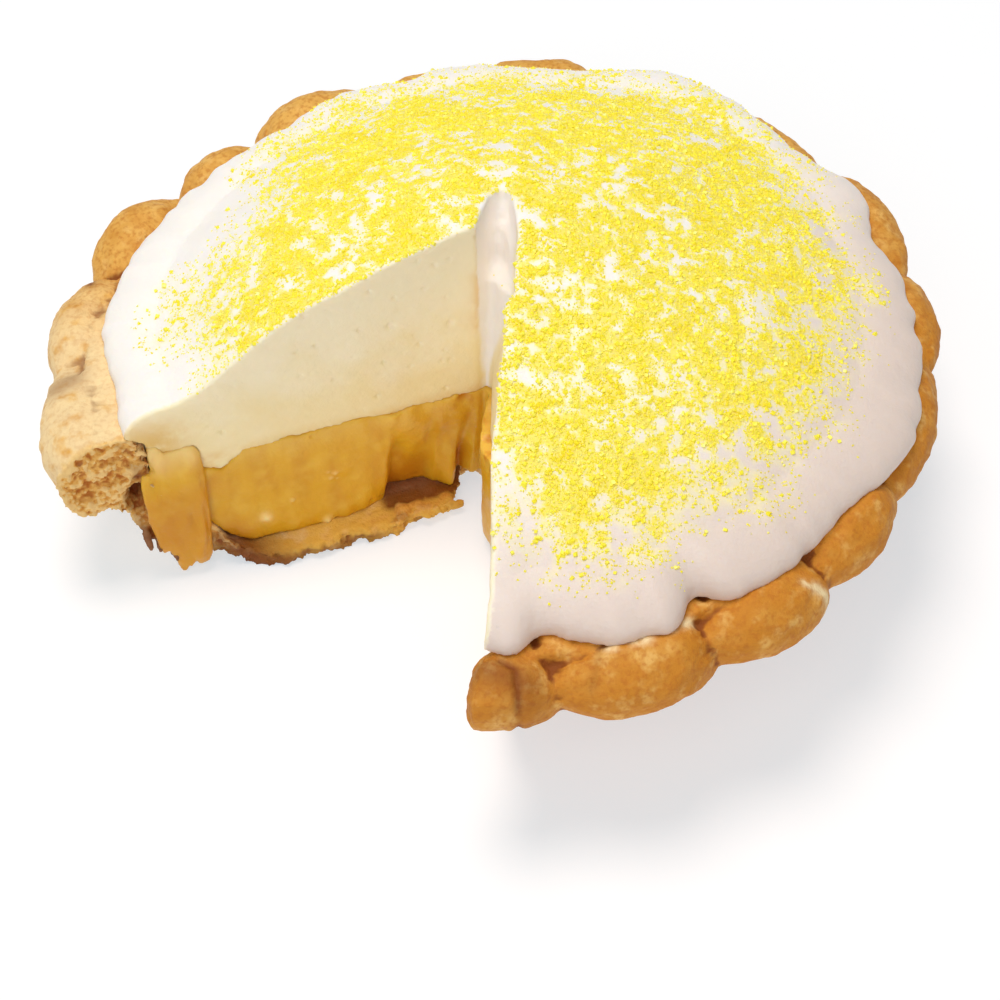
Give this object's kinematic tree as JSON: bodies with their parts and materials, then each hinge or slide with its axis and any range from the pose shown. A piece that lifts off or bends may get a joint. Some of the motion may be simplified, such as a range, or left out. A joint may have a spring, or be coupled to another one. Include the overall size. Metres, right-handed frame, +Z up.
{
  "type": "lemon pie",
  "caption": "Round deep pie with a fluted rope crust, a lemon filling and a tall white topping strewn with yellow sugar, shown with one large slice taken out.",
  "frame": {"origin": "centre of the rim's circle, on the surface that the pie stands on", "axes": "+Z up; -Y towards the viewer and into the open slice; +X to the viewer's right; the missing slice lies between azimuths 199 and 270 degrees, counter-clockwise from +X"},
  "size_m": [0.249, 0.2491, 0.1027],
  "materials": {
    "crust": "matte baked pastry, golden brown on the lobes, darker in the creases",
    "filling": "soft glossy lemon filling, amber yellow",
    "topping": "soft whipped white topping, satin, strewn with coarse lemon yellow sugar"
  },
  "bodies": {
    "root": {"crust": "crust", "lemon_filling": "filling", "topping": "topping"}
  },
  "joints": []
}
